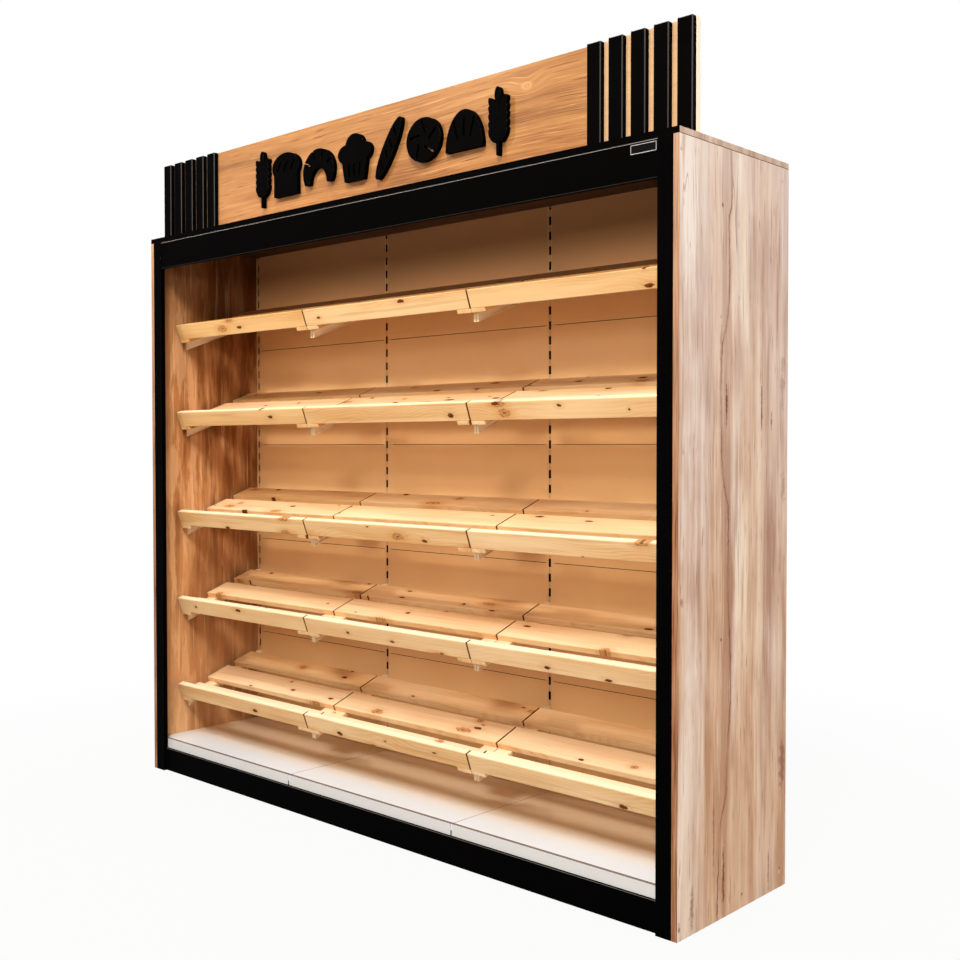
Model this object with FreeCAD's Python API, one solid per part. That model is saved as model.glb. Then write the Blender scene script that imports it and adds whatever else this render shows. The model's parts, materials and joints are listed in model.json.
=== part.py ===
import FreeCAD
import Part
import math
import os
from FreeCAD import Vector

# Bakery bread rack: a wood-decor cabinet around a slotted steel shelving core, with five tiers of sloping
# slatted pine trays in three bays, steel base decks, a black front frame and a crown sign.
# Millimetres. X runs along the rack, -Y is the front, +Z is up. The origin is on the floor, under the
# middle of the rack.

# ---- Driving dimensions ---------------------------------------------------------------------------------

# Cabinet
BAYS = 3
TIERS = 5
BAY_PITCH = 808.0
CABINET_DEPTH = 572.0
SIDE_HEIGHT = 2100.0
BOARD = 18.0

# Front frame
POST_WIDTH = 50.0
FASCIA_HEIGHT = 103.0
FASCIA_TOP_GAP = 1.0
FASCIA_INSET = 1.5
FASCIA_EDGE_RADIUS = 4.0
EDGING = 1.5
PLINTH_INSET = 12.0
PLINTH_END_GAP = 0.5

# Steel core
UPRIGHT_WIDTH = 30.0
UPRIGHT_DEPTH = 70.0
UPRIGHT_WALL = 2.0
UPRIGHT_BACK_INSET = 3.0
UPRIGHT_TOP_GAP = 2.0
SLOT_PITCH = 50.0
SLOT_WIDTH = 10.0
SLOT_HEIGHT = 28.0
FIRST_SLOT = 150.0
PANEL_PITCH = 400.0
PANEL_BASE = 100.0
PANEL_SEAM = 2.0
PANEL_SHEET = 1.0
PANEL_RETURN = 14.0
PANEL_LAP = 6.0
CROSSBAR_HEIGHT = 30.0
CROSSBAR_DEPTH = 20.0
CROSSBAR_LOW = 60.0
CROSSBAR_TOP_INSET = 55.0

# Base
LEG_HEIGHT = 76.0
LEG_WALL = 2.0
FOOT_HEIGHT = 22.0
FOOT_PAD_RADIUS = 20.0
FOOT_PAD_HEIGHT = 6.0
FOOT_STEM_RADIUS = 6.0
FOOT_FRONT_SETBACK = 60.0
FOOT_SIDE_GAP = 1.0
DECK_TOP = 125.0
DECK_SHEET = 1.2
DECK_LIP_HEIGHT = 36.0
DECK_FRONT_INSET = 20.0
DECK_GAP = 1.0
LIP_END_RELIEF = 1.5
LIP_RELIEF_DEPTH = 6.0

# Trays, measured square to their slope, from the front face of the lip rail
TRAY_SLOPE = 20.0
TRAY_DEPTH = 368.0
TRAY_FRONT_INSET = 88.0
TRAY_GAP = 2.0
PLANK_THICKNESS = 20.0
PLANK_WIDTH = 94.0
MIDDLE_PLANK_WIDTH = 105.0
FRONT_PLANK_GAP = 45.0
REAR_PLANK_GAP = 34.0
CLEAT_WIDTH = 58.0
CLEAT_THICKNESS = 14.0
RAIL_THICKNESS = 24.0
RAIL_RISE = 40.0
BOARD_EDGE_RADIUS = 2.0
LOWEST_RAIL_TOP = 330.0
TIER_STEPS = (0.0, 350.0, 700.0, 1100.0, 1450.0)

# Shelf brackets
BRACKET_SHEET = 2.0
BRACKET_FLANGE = 8.0
BRACKET_OFFSET = 2.5
BRACKET_FRONT_INSET = 136.0
BRACKET_FRONT_HEIGHT = 34.0
BRACKET_REAR_HEIGHT = 29.0
BRACKET_SEAT_GAP = 0.1
HOOK_PLATE_DEPTH = 25.0
HOOK_PLATE_HEIGHT = 80.0
HOOK_THICKNESS = 4.0
HOOK_DROP = 8.0
HOOK_NECK_HEIGHT = 18.0
LOWER_HOOK_SLOT = 350.0
PIN_RADIUS = 2.5
PIN_HEIGHT = 8.0
PIN_CLEARANCE = 0.5
PIN_SETBACK = 90.0

# Crown sign
SIGN_HEIGHT = 300.0
SIGN_SETBACK = 80.0
BATTENS_PER_END = 5
BATTEN_WIDTH = 49.0
BATTEN_THICKNESS = 20.0
BATTEN_PITCH = 74.8
BATTEN_EDGE_RADIUS = 4.0
MOTIF_THICKNESS = 18.0
MOTIF_HEIGHT = 206.0
MOTIF_GAP = 24.0
MOTIF_ROW_SHIFT = -20.0
MOTIF_GROOVE = 9.0
STAY_LEG = 40.0
STAY_WIDTH = 30.0
STAY_SHEET = 3.0
STAYS = 4

# Label plate on the fascia
LABEL_WIDTH = 88.0
LABEL_HEIGHT = 30.0
LABEL_TOP_GAP = 5.0

# Screws through the roof into the side panels
ROOF_SCREW_HEAD_RADIUS = 5.0
ROOF_SCREW_HEAD_HEIGHT = 2.0
ROOF_SCREW_RADIUS = 2.5
ROOF_SCREW_LENGTH = 50.0
ROOF_SCREWS_PER_SIDE = 4
ROOF_SCREW_END_INSET = 46.0

# Screws through the side panels into the front posts, the end uprights and the end base legs
SIDE_SCREW_HEAD_RADIUS = 5.0
SIDE_SCREW_HEAD_DEPTH = 3.0
SIDE_SCREW_RADIUS = 2.2
SIDE_SCREW_LENGTH = 36.0
SIDE_SCREW_LOW = 46.0
SIDE_SCREW_TOP_INSET = 40.0
LEG_SCREW_SETBACKS = (60.0, 326.0)
SCREW_CLEARANCE = 0.05

# ---- Places worked out from them ------------------------------------------------------------------------

INNER_WIDTH = BAYS * BAY_PITCH + UPRIGHT_WIDTH
CABINET_WIDTH = INNER_WIDTH + 2 * BOARD
HALF_WIDTH = CABINET_WIDTH / 2
HALF_INNER = INNER_WIDTH / 2
FRONT = -CABINET_DEPTH / 2
BACK = CABINET_DEPTH / 2
ROOF_TOP = SIDE_HEIGHT + BOARD
UPRIGHT_XS = [BAY_PITCH * (i - BAYS / 2) for i in range(BAYS + 1)]
UPRIGHT_BACK = BACK - UPRIGHT_BACK_INSET
UPRIGHT_FRONT = UPRIGHT_BACK - UPRIGHT_DEPTH
PANEL_FRONT = UPRIGHT_FRONT - PANEL_SHEET
POST_BACK = FRONT + BOARD
POST_INNER = HALF_INNER - POST_WIDTH
LEG_TOP = FOOT_HEIGHT + LEG_HEIGHT
PLINTH_FRONT = FRONT + PLINTH_INSET
PLINTH_BACK = PLINTH_FRONT + BOARD
DECK_FRONT = FRONT + DECK_FRONT_INSET
DECK_BACK = PANEL_FRONT - DECK_GAP
LIP_BOTTOM = DECK_TOP - DECK_LIP_HEIGHT
TRAY_LENGTH = BAY_PITCH - 2 * TRAY_GAP
TRAY_FRONT = FRONT + TRAY_FRONT_INSET
RAIL_TOPS = [LOWEST_RAIL_TOP + step for step in TIER_STEPS[:TIERS]]
SLOPE = math.radians(TRAY_SLOPE)
SEAT = -PLANK_THICKNESS - CLEAT_THICKNESS
SIGN_BOARD_FRONT = FRONT + SIGN_SETBACK
SIGN_BOARD_BACK = SIGN_BOARD_FRONT + BOARD
SIGN_TOP = ROOF_TOP + SIGN_HEIGHT


# ---- Small helpers --------------------------------------------------------------------------------------

def box(x, y, z):
    """A block between the two values given along each axis."""
    return Part.makeBox(x[1] - x[0], y[1] - y[0], z[1] - z[0], Vector(x[0], y[0], z[0]))


def rounded_box(x, y, z, radius, along):
    """A block whose edges along one axis are rounded."""
    block = box(x, y, z)
    edges = []
    for edge in block.Edges:
        run = edge.Vertexes[1].Point - edge.Vertexes[0].Point
        if abs(run.dot(along)) > 0.99 * run.Length:
            edges.append(edge)
    return block.makeFillet(radius, edges)


def profile(points, depth):
    """An upright plate from points in Y and Z, starting at X = 0 and as thick as depth along X."""
    corners = [Vector(0, y, z) for y, z in points]
    face = Part.Face(Part.makePolygon(corners + corners[:1]))
    return face.extrude(Vector(depth, 0, 0))


def moved(shape, x=0.0, y=0.0, z=0.0):
    """A copy of a shape, shifted."""
    copy = shape.copy()
    copy.translate(Vector(x, y, z))
    return copy


def mirrored(shape):
    """The copy of a shape on the other side of the YZ plane."""
    return shape.mirror(Vector(0, 0, 0), Vector(1, 0, 0))


def write(node, solids):
    """Writes one node as a STEP file, holding one solid or several separate ones."""
    shape = solids[0] if len(solids) == 1 else Part.makeCompound(solids)
    shape.exportStep("parts/" + node + ".step")


# ---- Cabinet --------------------------------------------------------------------------------------------

def roof_screws(clearance=0.0):
    """Pan-head screws standing in the roof and the side panels, or the clearance holes for them."""
    step = (CABINET_DEPTH - 2 * ROOF_SCREW_END_INSET) / (ROOF_SCREWS_PER_SIDE - 1)
    screws = []
    for x in (-HALF_WIDTH + BOARD / 2, HALF_WIDTH - BOARD / 2):
        for i in range(ROOF_SCREWS_PER_SIDE):
            y = FRONT + ROOF_SCREW_END_INSET + step * i
            length = ROOF_SCREW_LENGTH + clearance
            foot = Vector(x, y, ROOF_TOP - length)
            shank = Part.makeCylinder(ROOF_SCREW_RADIUS + clearance, length, foot)
            head = Part.makeCylinder(ROOF_SCREW_HEAD_RADIUS, ROOF_SCREW_HEAD_HEIGHT, Vector(x, y, ROOF_TOP))
            screws.append(shank.fuse(head).removeSplitter())
    return screws


def side_screws(clearance=0.0):
    """Countersunk screws driven inward through the right-hand side panel, or the holes for them."""
    post_y = FRONT + BOARD / 2
    upright_y = (UPRIGHT_FRONT + UPRIGHT_BACK) / 2
    top = SIDE_HEIGHT - SIDE_SCREW_TOP_INSET
    heights = (SIDE_SCREW_LOW, (SIDE_SCREW_LOW + top) / 2, top)
    places = [(y, z) for y in (post_y, upright_y) for z in heights]
    places += [(FRONT + setback, SIDE_SCREW_LOW) for setback in LEG_SCREW_SETBACKS]
    inward = Vector(-1, 0, 0)
    screws = []
    for y, z in places:
        start = Vector(HALF_WIDTH, y, z)
        length = SIDE_SCREW_LENGTH + clearance
        shank = Part.makeCylinder(SIDE_SCREW_RADIUS + clearance, length, start, inward)
        head = Part.makeCone(SIDE_SCREW_HEAD_RADIUS + clearance, SIDE_SCREW_RADIUS + clearance,
                             SIDE_SCREW_HEAD_DEPTH, start, inward)
        screws.append(shank.fuse(head).removeSplitter())
    return screws


def cabinet():
    side_holes = Part.makeCompound(side_screws(SCREW_CLEARANCE))
    roof_holes = Part.makeCompound(roof_screws(SCREW_CLEARANCE))
    side = box((HALF_INNER, HALF_WIDTH), (FRONT, BACK), (0, SIDE_HEIGHT)).cut(side_holes)
    write("side_panel_right", [side.cut(roof_holes)])
    write("side_panel_left", [mirrored(side).cut(roof_holes)])
    roof = box((-HALF_WIDTH, HALF_WIDTH), (FRONT + EDGING, BACK), (SIDE_HEIGHT, ROOF_TOP))
    write("roof_panel", [roof.cut(roof_holes)])
    write("roof_screws", roof_screws())
    write("side_screws", side_screws() + [mirrored(screw) for screw in side_screws()])
    strip = box((-HALF_WIDTH, HALF_WIDTH), (FRONT, FRONT + EDGING), (SIDE_HEIGHT, ROOF_TOP))
    write("cornice_strip", [strip])


def front_frame():
    post = box((POST_INNER, HALF_INNER), (FRONT, POST_BACK), (0, SIDE_HEIGHT))
    post = post.cut(Part.makeCompound(side_screws(SCREW_CLEARANCE)))
    write("front_post_right", [post])
    write("front_post_left", [mirrored(post)])
    fascia_top = SIDE_HEIGHT - FASCIA_TOP_GAP
    fascia_front = FRONT + FASCIA_INSET
    fascia = rounded_box((-POST_INNER, POST_INNER), (fascia_front, fascia_front + BOARD),
                         (fascia_top - FASCIA_HEIGHT, fascia_top), FASCIA_EDGE_RADIUS, Vector(1, 0, 0))
    write("header_fascia", [fascia])
    label_top = fascia_top - LABEL_TOP_GAP
    label = box((POST_INNER - LABEL_WIDTH, POST_INNER), (FRONT, fascia_front),
                (label_top - LABEL_HEIGHT, label_top))
    write("label_plate", [label])
    plinth_end = POST_INNER - PLINTH_END_GAP
    plinth = box((-plinth_end, plinth_end), (PLINTH_FRONT, PLINTH_BACK), (0, LIP_BOTTOM - DECK_GAP))
    write("plinth_board", [plinth])


# ---- Steel core -----------------------------------------------------------------------------------------

def at_every_upright(piece):
    """Copies of a piece at each upright. The two end ones are drilled for the side panels' screws."""
    right_holes = Part.makeCompound(side_screws(SCREW_CLEARANCE))
    left_holes = mirrored(right_holes)
    copies = [moved(piece, x) for x in UPRIGHT_XS]
    copies[0] = copies[0].cut(left_holes)
    copies[-1] = copies[-1].cut(right_holes)
    return copies


def uprights():
    """Box-section posts with a column of slots down the front face of each. The top slot is cut open."""
    half = UPRIGHT_WIDTH / 2
    top = SIDE_HEIGHT - UPRIGHT_TOP_GAP
    tube = box((-half, half), (UPRIGHT_FRONT, UPRIGHT_BACK), (FOOT_HEIGHT, top))
    inside = box((UPRIGHT_WALL - half, half - UPRIGHT_WALL),
                 (UPRIGHT_FRONT + UPRIGHT_WALL, UPRIGHT_BACK - UPRIGHT_WALL),
                 (FOOT_HEIGHT + UPRIGHT_WALL, top))
    slots = []
    count = int((top - FIRST_SLOT + SLOT_HEIGHT / 2) // SLOT_PITCH) + 1
    for i in range(count):
        centre = FIRST_SLOT + SLOT_PITCH * i
        slots.append(box((-SLOT_WIDTH / 2, SLOT_WIDTH / 2),
                         (UPRIGHT_FRONT - UPRIGHT_WALL, UPRIGHT_FRONT + 2 * UPRIGHT_WALL),
                         (centre - SLOT_HEIGHT / 2, centre + SLOT_HEIGHT / 2)))
    upright = tube.cut(inside).cut(Part.makeCompound(slots))
    write("uprights", at_every_upright(upright))


def crossbars():
    """Bars that tie neighbouring uprights together at the back, low down and high up."""
    middle = (UPRIGHT_FRONT + UPRIGHT_BACK) / 2
    bars = []
    for left, right in zip(UPRIGHT_XS, UPRIGHT_XS[1:]):
        for centre in (CROSSBAR_LOW, SIDE_HEIGHT - CROSSBAR_TOP_INSET):
            bars.append(box((left + UPRIGHT_WIDTH / 2, right - UPRIGHT_WIDTH / 2),
                            (middle - CROSSBAR_DEPTH / 2, middle + CROSSBAR_DEPTH / 2),
                            (centre - CROSSBAR_HEIGHT / 2, centre + CROSSBAR_HEIGHT / 2)))
    write("rear_crossbars", bars)


def back_panel(height):
    """A steel pan: a flat sheet that laps the uprights, with folded returns behind it."""
    half_return = BAY_PITCH / 2 - UPRIGHT_WIDTH / 2 - PANEL_SHEET
    half_sheet = BAY_PITCH / 2 - UPRIGHT_WIDTH / 2 + PANEL_LAP
    sheet = box((-half_sheet, half_sheet), (PANEL_FRONT, UPRIGHT_FRONT), (0, height))
    pan_back = UPRIGHT_FRONT + PANEL_RETURN
    block = box((-half_return, half_return), (UPRIGHT_FRONT, pan_back), (0, height))
    hollow = box((PANEL_SHEET - half_return, half_return - PANEL_SHEET), (UPRIGHT_FRONT, pan_back),
                 (PANEL_SHEET, height - PANEL_SHEET))
    return sheet.fuse(block.cut(hollow)).removeSplitter()


def back_panels():
    """A column of pans in each bay. The top one is as high as the space under the roof."""
    count = round((SIDE_HEIGHT - PANEL_BASE) / PANEL_PITCH)
    for bay, left in enumerate(UPRIGHT_XS[:-1], start=1):
        pans = []
        for i in range(count):
            bottom = PANEL_BASE + PANEL_PITCH * i
            top = bottom + PANEL_PITCH if i < count - 1 else SIDE_HEIGHT
            pan = back_panel(top - bottom - PANEL_SEAM)
            pans.append(moved(pan, left + BAY_PITCH / 2, z=bottom + PANEL_SEAM / 2))
        write("back_panels_%d" % bay, pans)


# ---- Base -----------------------------------------------------------------------------------------------

def base_legs():
    """A box-section leg runs forward from the foot of each upright, on adjustable feet."""
    half = UPRIGHT_WIDTH / 2
    outside = box((-half, half), (PLINTH_BACK, UPRIGHT_FRONT), (FOOT_HEIGHT, LEG_TOP))
    inside = box((LEG_WALL - half, half - LEG_WALL), (PLINTH_BACK, UPRIGHT_FRONT - LEG_WALL),
                 (FOOT_HEIGHT + LEG_WALL, LEG_TOP - LEG_WALL))
    write("base_legs", at_every_upright(outside.cut(inside)))
    pad = Part.makeCylinder(FOOT_PAD_RADIUS, FOOT_PAD_HEIGHT)
    stem = Part.makeCylinder(FOOT_STEM_RADIUS, FOOT_HEIGHT)
    foot = pad.fuse(stem).removeSplitter()
    front_foot = PLINTH_BACK + FOOT_FRONT_SETBACK
    rear_foot = (UPRIGHT_FRONT + UPRIGHT_BACK) / 2
    feet = []
    for x in UPRIGHT_XS:
        side_limit = HALF_INNER - FOOT_PAD_RADIUS - FOOT_SIDE_GAP
        foot_x = max(-side_limit, min(side_limit, x))
        feet.append(moved(foot, foot_x, front_foot))
        feet.append(moved(foot, foot_x, rear_foot))
    write("levelling_feet", feet)


def base_decks():
    """Folded steel base shelves with a deep front lip, cut back at its ends. The outer two reach the sides."""
    for bay, (left, right) in enumerate(zip(UPRIGHT_XS, UPRIGHT_XS[1:]), start=1):
        x0 = left + DECK_GAP if bay > 1 else -HALF_INNER + DECK_GAP
        x1 = right - DECK_GAP if bay < BAYS else HALF_INNER - DECK_GAP
        block = box((x0, x1), (DECK_FRONT, DECK_BACK), (LEG_TOP, DECK_TOP))
        hollow = box((x0 + DECK_SHEET, x1 - DECK_SHEET), (DECK_FRONT + DECK_SHEET, DECK_BACK - DECK_SHEET),
                     (LEG_TOP, DECK_TOP - DECK_SHEET))
        lip = box((x0, x1), (DECK_FRONT, DECK_FRONT + DECK_SHEET), (LIP_BOTTOM, LEG_TOP))
        deck = block.cut(hollow).fuse(lip)
        for x in (x0, x1 - LIP_END_RELIEF):
            deck = deck.cut(box((x, x + LIP_END_RELIEF), (DECK_FRONT, DECK_FRONT + LIP_RELIEF_DEPTH),
                                (LIP_BOTTOM, DECK_TOP)))
        write("base_deck_%d" % bay, [deck.removeSplitter()])


# ---- Trays ----------------------------------------------------------------------------------------------

def on_slope(shape, x, rail_top):
    """Tilts a piece modelled flat and sets the lip rail's front top edge at its place."""
    placed = shape.copy()
    placed.rotate(Vector(0, 0, 0), Vector(1, 0, 0), TRAY_SLOPE)
    placed.translate(Vector(x, TRAY_FRONT + RAIL_RISE * math.sin(SLOPE),
                            rail_top - RAIL_RISE * math.cos(SLOPE)))
    return placed


def seat_height(y, rail_top):
    """Height of the underside of the cleats at a given Y."""
    start_y = TRAY_FRONT + (RAIL_RISE - SEAT) * math.sin(SLOPE)
    start_z = rail_top - (RAIL_RISE - SEAT) * math.cos(SLOPE)
    return start_z + (y - start_y) * math.tan(SLOPE)


def pin_offset():
    """How far from the middle of an upright the pin of a bracket stands."""
    return BRACKET_OFFSET + BRACKET_FLANGE / 2


def tray_boards(x, rail_top):
    """Three planks on two cleats. Each cleat has a blind hole that drops over a bracket's pin."""
    along = Vector(1, 0, 0)
    across = Vector(0, 1, 0)
    rear_start = TRAY_DEPTH - PLANK_WIDTH
    middle_start = rear_start - REAR_PLANK_GAP - MIDDLE_PLANK_WIDTH
    spans = ((RAIL_THICKNESS, middle_start - FRONT_PLANK_GAP),
             (middle_start, middle_start + MIDDLE_PLANK_WIDTH),
             (rear_start, TRAY_DEPTH))
    boards = []
    for span in spans:
        boards.append(rounded_box((0, TRAY_LENGTH), span, (-PLANK_THICKNESS, 0), BOARD_EDGE_RADIUS, along))
    cleats = []
    for start in (0, TRAY_LENGTH - CLEAT_WIDTH):
        cleats.append(rounded_box((start, start + CLEAT_WIDTH), (0, TRAY_DEPTH), (SEAT, -PLANK_THICKNESS),
                                  BOARD_EDGE_RADIUS, across))
    placed = [on_slope(board, x, rail_top) for board in boards]
    pin_y = FRONT + BRACKET_FRONT_INSET + PIN_SETBACK
    hole_xs = (x - TRAY_GAP + pin_offset(), x - TRAY_GAP + BAY_PITCH - pin_offset())
    for cleat, hole_x in zip(cleats, hole_xs):
        base = Vector(hole_x, pin_y, seat_height(pin_y, rail_top) - PIN_HEIGHT)
        hole = Part.makeCylinder(PIN_RADIUS + PIN_CLEARANCE, 2 * PIN_HEIGHT + PIN_CLEARANCE, base)
        placed.append(on_slope(cleat, x, rail_top).cut(hole))
    return placed


def lip_rail(x, rail_top):
    """The raised front rail, which stands on the ends of the cleats and leans out with the slope."""
    rail = rounded_box((0, TRAY_LENGTH), (0, RAIL_THICKNESS), (-PLANK_THICKNESS, RAIL_RISE),
                       BOARD_EDGE_RADIUS, Vector(1, 0, 0))
    return [on_slope(rail, x, rail_top)]


def trays():
    for tier, rail_top in enumerate(RAIL_TOPS, start=1):
        for bay, left in enumerate(UPRIGHT_XS[:-1], start=1):
            name = "tray_%d_%d" % (tier, bay)
            write(name + "_boards", tray_boards(left + TRAY_GAP, rail_top))
            write(name + "_rail", lip_rail(left + TRAY_GAP, rail_top))


# ---- Shelf brackets -------------------------------------------------------------------------------------

def bracket(rail_top):
    """A folded steel arm for the left end of a tray: a web with flanges, a hook plate and a pin."""
    front = FRONT + BRACKET_FRONT_INSET
    arm_back = UPRIGHT_FRONT - HOOK_PLATE_DEPTH

    def top(y):
        return seat_height(y, rail_top) - BRACKET_SEAT_GAP

    def bottom(y):
        share = (y - front) / (arm_back - front)
        return top(y) - BRACKET_FRONT_HEIGHT - (BRACKET_REAR_HEIGHT - BRACKET_FRONT_HEIGHT) * share

    sheet = BRACKET_SHEET
    arm = [(front, bottom(front)), (arm_back, bottom(arm_back)),
           (arm_back, top(arm_back)), (front, top(front))]
    inner = [(front + sheet, bottom(front) + 1.2 * sheet), (arm_back, bottom(arm_back) + sheet),
             (arm_back, top(arm_back) - sheet), (front + sheet, top(front) - sheet)]
    body = profile(arm, BRACKET_FLANGE)
    body = body.cut(moved(profile(inner, BRACKET_FLANGE), sheet))

    lower_slot = rail_top - LOWEST_RAIL_TOP + LOWER_HOOK_SLOT
    plate_base = lower_slot - SLOT_HEIGHT / 2
    plate = box((0, sheet), (arm_back, UPRIGHT_FRONT), (plate_base, plate_base + HOOK_PLATE_HEIGHT))
    pieces = [plate]
    behind = UPRIGHT_FRONT + UPRIGHT_WALL
    for centre in (lower_slot, lower_slot + SLOT_PITCH):
        sill = centre - SLOT_HEIGHT / 2
        crest = sill + HOOK_NECK_HEIGHT
        neck = box((0, sheet), (UPRIGHT_FRONT, behind), (sill, crest))
        tip = box((0, sheet), (behind, behind + HOOK_THICKNESS), (sill - HOOK_DROP, crest))
        pieces += [neck, tip]
    pin_y = front + PIN_SETBACK
    pin_base = Vector(BRACKET_FLANGE / 2, pin_y, top(pin_y) - sheet)
    pieces.append(Part.makeCylinder(PIN_RADIUS, PIN_HEIGHT + sheet, pin_base))
    return moved(body.fuse(pieces).removeSplitter(), BRACKET_OFFSET)


def shelf_brackets():
    """A bracket under both ends of every tray, in pairs side by side on the middle uprights."""
    left_hand = []
    right_hand = []
    for rail_top in RAIL_TOPS:
        arm = bracket(rail_top)
        for left, right in zip(UPRIGHT_XS, UPRIGHT_XS[1:]):
            left_hand.append(moved(arm, left))
            right_hand.append(moved(mirrored(arm), right))
    write("shelf_brackets_left_hand", left_hand)
    write("shelf_brackets_right_hand", right_hand)


# ---- Crown sign -----------------------------------------------------------------------------------------

def sign_frame():
    board = box((-HALF_WIDTH, HALF_WIDTH), (SIGN_BOARD_FRONT, SIGN_BOARD_BACK), (ROOF_TOP, SIGN_TOP))
    write("sign_board", [board])
    battens = []
    for i in range(BATTENS_PER_END):
        outer = HALF_WIDTH - BATTEN_PITCH * i
        battens.append(rounded_box((outer - BATTEN_WIDTH, outer),
                                   (SIGN_BOARD_FRONT - BATTEN_THICKNESS, SIGN_BOARD_FRONT),
                                   (ROOF_TOP, SIGN_TOP), BATTEN_EDGE_RADIUS, Vector(0, 0, 1)))
    write("sign_battens", battens + [mirrored(batten) for batten in battens])
    leg = box((-STAY_WIDTH / 2, STAY_WIDTH / 2), (SIGN_BOARD_BACK, SIGN_BOARD_BACK + STAY_LEG),
              (ROOF_TOP, ROOF_TOP + STAY_SHEET))
    arm = box((-STAY_WIDTH / 2, STAY_WIDTH / 2), (SIGN_BOARD_BACK, SIGN_BOARD_BACK + STAY_SHEET),
              (ROOF_TOP, ROOF_TOP + STAY_LEG))
    stay = leg.fuse(arm).removeSplitter()
    step = CABINET_WIDTH / STAYS
    write("sign_stays", [moved(stay, -HALF_WIDTH + step * (i + 0.5)) for i in range(STAYS)])


def ellipse(x, y, half_length, half_width, angle=0.0):
    """A flat ellipse, its long axis turned by angle from the X axis."""
    if half_length < half_width:
        half_length, half_width, angle = half_width, half_length, angle + 90
    edge = Part.Ellipse(Vector(0, 0, 0), half_length, half_width).toShape()
    plate = Part.Face(Part.Wire([edge])).extrude(Vector(0, 0, MOTIF_THICKNESS))
    plate.rotate(Vector(0, 0, 0), Vector(0, 0, 1), angle)
    return moved(plate, x, y)


def bar(x, y, length, width, angle=0.0):
    """A flat bar with round ends, turned by angle from the X axis."""
    half = length / 2 - width / 2
    plate = Part.makeBox(2 * half, width, MOTIF_THICKNESS, Vector(-half, -width / 2, 0))
    ends = [Part.makeCylinder(width / 2, MOTIF_THICKNESS, Vector(side * half, 0, 0)) for side in (-1, 1)]
    plate = plate.fuse(ends).removeSplitter()
    plate.rotate(Vector(0, 0, 0), Vector(0, 0, 1), angle)
    return moved(plate, x, y)


def panel(points):
    """A flat plate with straight sides."""
    corners = [Vector(x, y, 0) for x, y in points]
    return Part.Face(Part.makePolygon(corners + corners[:1])).extrude(Vector(0, 0, MOTIF_THICKNESS))


def below(y):
    """A block that trims away whatever lies under a level."""
    reach = 2 * MOTIF_HEIGHT
    return Part.makeBox(2 * reach, reach, MOTIF_THICKNESS, Vector(-reach, y - reach, 0))


def wheat_ear():
    """Pairs of grains up a stalk, with one grain at the tip."""
    grain = MOTIF_HEIGHT * 0.12
    first_row = MOTIF_HEIGHT * 0.3
    grains = [ellipse(0, MOTIF_HEIGHT - grain, grain, 0.46 * grain, 90)]
    for row in range(5):
        for side in (-1, 1):
            grains.append(ellipse(side * 0.85 * grain, first_row + 0.95 * grain * row, grain, 0.46 * grain,
                                  90 - side * 32))
    stalk = bar(0, MOTIF_HEIGHT * 0.45, MOTIF_HEIGHT * 0.9, 0.4 * grain, 90)
    return stalk.fuse(grains).removeSplitter()


def tin_loaf():
    """A loaf with straight sides, a domed crust and three cuts."""
    half = MOTIF_HEIGHT * 0.37
    shoulder = MOTIF_HEIGHT * 0.5
    body = panel([(-0.86 * half, 0), (0.86 * half, 0), (0.86 * half, shoulder), (-0.86 * half, shoulder)])
    loaf = body.fuse(ellipse(0, shoulder, half, MOTIF_HEIGHT * 0.24)).removeSplitter()
    cuts = [bar(half * shift, shoulder, MOTIF_HEIGHT * 0.22, MOTIF_GROOVE, 60) for shift in (-0.5, 0, 0.5)]
    return loaf.cut(cuts)


def croissant():
    """A crescent with its tips down and cuts across it."""
    outer = MOTIF_HEIGHT * 0.4
    crescent = ellipse(0, 0, outer, outer * 0.95).cut(ellipse(0, -outer * 0.5, outer * 0.56, outer * 0.66))
    cuts = []
    for angle in (28, 68, 112, 152):
        turn = math.radians(angle)
        cuts.append(bar(outer * 0.78 * math.cos(turn), outer * 0.74 * math.sin(turn), outer * 0.44,
                        MOTIF_GROOVE, angle))
    return crescent.cut(below(-outer * 0.5)).cut(cuts)


def muffin():
    """A ribbed cup under a crown of three swells."""
    rim = MOTIF_HEIGHT * 0.36
    cup = panel([(-0.66 * rim, 0), (0.66 * rim, 0), (0.86 * rim, rim), (-0.86 * rim, rim)])
    ribs = [bar(0.36 * rim * i, 0.48 * rim, 0.66 * rim, MOTIF_GROOVE, 90 - 7 * i) for i in (-1, 0, 1)]
    swell = 0.52 * rim
    crown = [ellipse(0.6 * rim * i, 1.26 * rim, swell, 0.8 * swell) for i in (-1, 0, 1)]
    crown.append(ellipse(0, 1.6 * rim, 1.15 * swell, swell))
    return cup.cut(ribs).fuse(crown).removeSplitter()


def baguette():
    """A long loaf leaning over, with four slashes."""
    half_length = MOTIF_HEIGHT * 0.53
    half_width = MOTIF_HEIGHT * 0.13
    cuts = [bar(0.36 * half_length * (i - 1.5), 0, 1.3 * half_width, MOTIF_GROOVE, 55) for i in range(4)]
    stick = ellipse(0, 0, half_length, half_width).cut(cuts)
    stick.rotate(Vector(0, 0, 0), Vector(0, 0, 1), 58)
    return stick


def star_roll():
    """A round roll with five cuts that curl out from its middle."""
    radius = MOTIF_HEIGHT * 0.37
    cuts = []
    for i in range(5):
        angle = 90 + 72 * i
        turn = math.radians(angle)
        cuts.append(bar(0.55 * radius * math.cos(turn), 0.55 * radius * math.sin(turn), 0.66 * radius,
                        MOTIF_GROOVE, angle + 24))
    return ellipse(0, 0, radius, 0.92 * radius).cut(cuts)


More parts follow.
